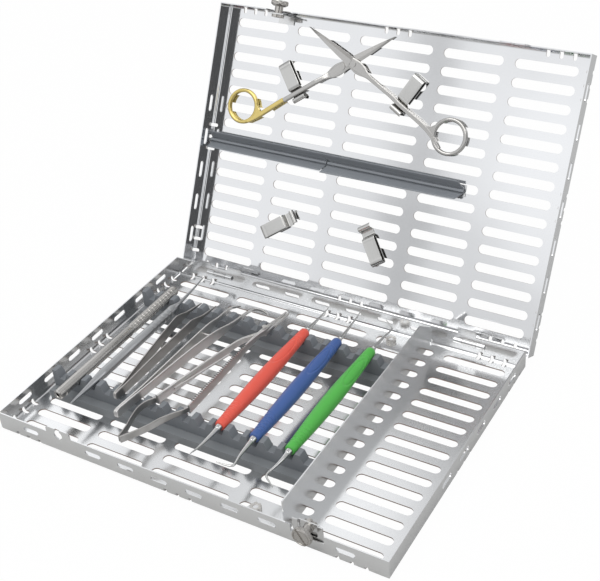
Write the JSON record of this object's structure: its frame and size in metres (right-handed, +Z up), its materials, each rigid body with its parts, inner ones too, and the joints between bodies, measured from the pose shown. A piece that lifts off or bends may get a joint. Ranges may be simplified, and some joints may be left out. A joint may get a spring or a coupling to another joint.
{
  "type": "dental instrument cassette",
  "caption": "Open steel sterilising cassette for dental instruments: perforated base and hinged lid, comb rails, divider, turn latches, spring clips, scissors and hand instruments",
  "frame": {"origin": "centre of the base tray's footprint, on the plane it rests on", "axes": "+X along the long side to the right, +Y from the front edge to the hinge, +Z up"},
  "size_m": [0.28, 0.3128, 0.1904],
  "materials": {
    "tray_steel": "polished",
    "knob_steel": "satin",
    "spring_steel": "satin",
    "instrument_steel": "satin",
    "gold_finish": "polished",
    "holder_plastic": "matt",
    "grey_silicone": "matt",
    "red_silicone": "matt",
    "blue_silicone": "matt",
    "green_silicone": "matt"
  },
  "bodies": {
    "base": {"base_tray": "tray_steel", "hinge_pins": "tray_steel", "latch_bracket_base": "tray_steel", "ear_plate": "tray_steel", "divider": "tray_steel", "divider_studs": "tray_steel", "divider_nuts": "knob_steel", "comb_holder_front": "holder_plastic", "comb_front": "grey_silicone", "comb_holder_back": "holder_plastic", "comb_back": "grey_silicone"},
    "lid": {"lid_tray": "tray_steel", "hinge_leaf_left": "tray_steel", "hinge_leaf_right": "tray_steel", "latch_bracket_lid": "tray_steel", "bar_channel": "tray_steel", "bar_rivets": "tray_steel", "hold_down_left": "grey_silicone", "hold_down_right": "grey_silicone", "clip_free_left": "spring_steel", "clip_free_right": "spring_steel", "clip_free_left_rivet": "tray_steel", "clip_free_right_rivet": "tray_steel", "clip_hinge_left_rivet": "tray_steel", "clip_hinge_right_rivet": "tray_steel"},
    "latch_base": {"latch_knob_base": "knob_steel", "latch_nut_base": "knob_steel"},
    "latch_lid": {"latch_knob_lid": "knob_steel", "latch_nut_lid": "knob_steel"},
    "swivel_clip_left": {"clip_hinge_left": "spring_steel"},
    "swivel_clip_right": {"clip_hinge_right": "spring_steel"},
    "scissors_gold": {"scissors_gold_lower": "gold_finish", "scissors_gold_screw": "instrument_steel"},
    "scissors_gold_half": {"scissors_gold_upper": "gold_finish"},
    "scissors_steel": {"scissors_steel_lower": "instrument_steel", "scissors_steel_screw": "instrument_steel"},
    "scissors_steel_half": {"scissors_steel_upper": "instrument_steel"},
    "mirror_handle": {"mirror_handle_front": "instrument_steel", "mirror_handle_back": "instrument_steel"},
    "probe": {"probe": "instrument_steel"},
    "tweezers_straight": {"tweezers_straight": "instrument_steel"},
    "tweezers_bent": {"tweezers_bent": "instrument_steel", "tweezers_bent_pin": "instrument_steel"},
    "needle_holder": {"needle_holder_left": "instrument_steel", "needle_holder_rivet": "instrument_steel", "needle_holder_spring": "spring_steel"},
    "needle_holder_half": {"needle_holder_right": "instrument_steel"},
    "scaler_red": {"scaler_red_core": "instrument_steel", "scaler_red_grip": "red_silicone"},
    "scaler_blue": {"scaler_blue_core": "instrument_steel", "scaler_blue_grip": "blue_silicone"},
    "scaler_green": {"scaler_green_core": "instrument_steel", "scaler_green_grip": "green_silicone"}
  },
  "joints": [
    {"name": "lid_hinge", "type": "hinge", "parent": "base", "child": "lid", "pos_m": [0, 0.0986, 0.0091], "axis": [-1, 0, 0], "range_deg": [-117.5, 0], "deforming": ["hold_down_left", "hold_down_right"]},
    {"name": "latch_base_turn", "type": "hinge", "parent": "base", "child": "latch_base", "pos_m": [0.0895, -0.098, 0.0147], "axis": [0, 1, 0], "range_deg": [0, 90]},
    {"name": "latch_lid_turn", "type": "hinge", "parent": "lid", "child": "latch_lid", "pos_m": [-0.0895, 0.19435, 0.1809], "axis": [0, -0.4617, -0.887], "range_deg": [0, 90]},
    {"name": "clip_left_swivel", "type": "hinge", "parent": "lid", "child": "swivel_clip_left", "pos_m": [-0.07104, 0.13519, 0.0378], "axis": [0, -0.887, 0.4617], "range_deg": [-45, 45]},
    {"name": "clip_right_swivel", "type": "hinge", "parent": "lid", "child": "swivel_clip_right", "pos_m": [0.01217, 0.13519, 0.0378], "axis": [0, -0.887, 0.4617], "range_deg": [-45, 45]},
    {"name": "scissors_steel_lift", "type": "slide", "parent": "lid", "child": "scissors_steel", "axis": [0, -0.887, 0.4617], "range_m": [0, 0.04]},
    {"name": "scissors_gold_lift", "type": "slide", "parent": "lid", "child": "scissors_gold", "axis": [0, -0.887, 0.4617], "range_m": [0, 0.024]},
    {"name": "scissors_steel_pivot", "type": "hinge", "parent": "scissors_steel", "child": "scissors_steel_half", "pos_m": [-0.0286, 0.19118, 0.15121], "axis": [0, -0.887, 0.4617], "range_deg": [-25, 0]},
    {"name": "scissors_gold_pivot", "type": "hinge", "parent": "scissors_gold", "child": "scissors_gold_half", "pos_m": [-0.0377, 0.19143, 0.14736], "axis": [0, -0.887, 0.4617], "range_deg": [0, 12]},
    {"name": "mirror_handle_lift", "type": "slide", "parent": "base", "child": "mirror_handle", "axis": [0, 0, 1], "range_m": [0, 0.06]},
    {"name": "probe_lift", "type": "slide", "parent": "base", "child": "probe", "axis": [0, 0, 1], "range_m": [0, 0.06]},
    {"name": "tweezers_straight_lift", "type": "slide", "parent": "base", "child": "tweezers_straight", "axis": [0, 0, 1], "range_m": [0, 0.06]},
    {"name": "tweezers_bent_lift", "type": "slide", "parent": "base", "child": "tweezers_bent", "axis": [0, 0, 1], "range_m": [0, 0.06]},
    {"name": "needle_holder_lift", "type": "slide", "parent": "base", "child": "needle_holder", "axis": [0, 0, 1], "range_m": [0, 0.06]},
    {"name": "needle_holder_squeeze", "type": "hinge", "parent": "needle_holder", "child": "needle_holder_half", "pos_m": [-0.0245, 0.042, 0.019], "axis": [0, 0.0192, 0.9998], "range_deg": [-6, 0], "deforming": ["needle_holder_spring"]},
    {"name": "scaler_red_lift", "type": "slide", "parent": "base", "child": "scaler_red", "axis": [0, 0, 1], "range_m": [0, 0.06]},
    {"name": "scaler_blue_lift", "type": "slide", "parent": "base", "child": "scaler_blue", "axis": [0, 0, 1], "range_m": [0, 0.06]},
    {"name": "scaler_green_lift", "type": "slide", "parent": "base", "child": "scaler_green", "axis": [0, 0, 1], "range_m": [0, 0.06]}
  ],
  "couplings": [
    {"joint": "scissors_gold_lift", "follows": "scissors_steel_lift", "ratio": 0.6},
    {"joint": "scissors_steel_pivot", "follows": "scissors_steel_lift", "rad_per_m": -10.908},
    {"joint": "scissors_gold_pivot", "follows": "scissors_steel_lift", "rad_per_m": 5.236},
    {"joint": "needle_holder_squeeze", "follows": "needle_holder_lift", "rad_per_m": -1.7453}
  ]
}
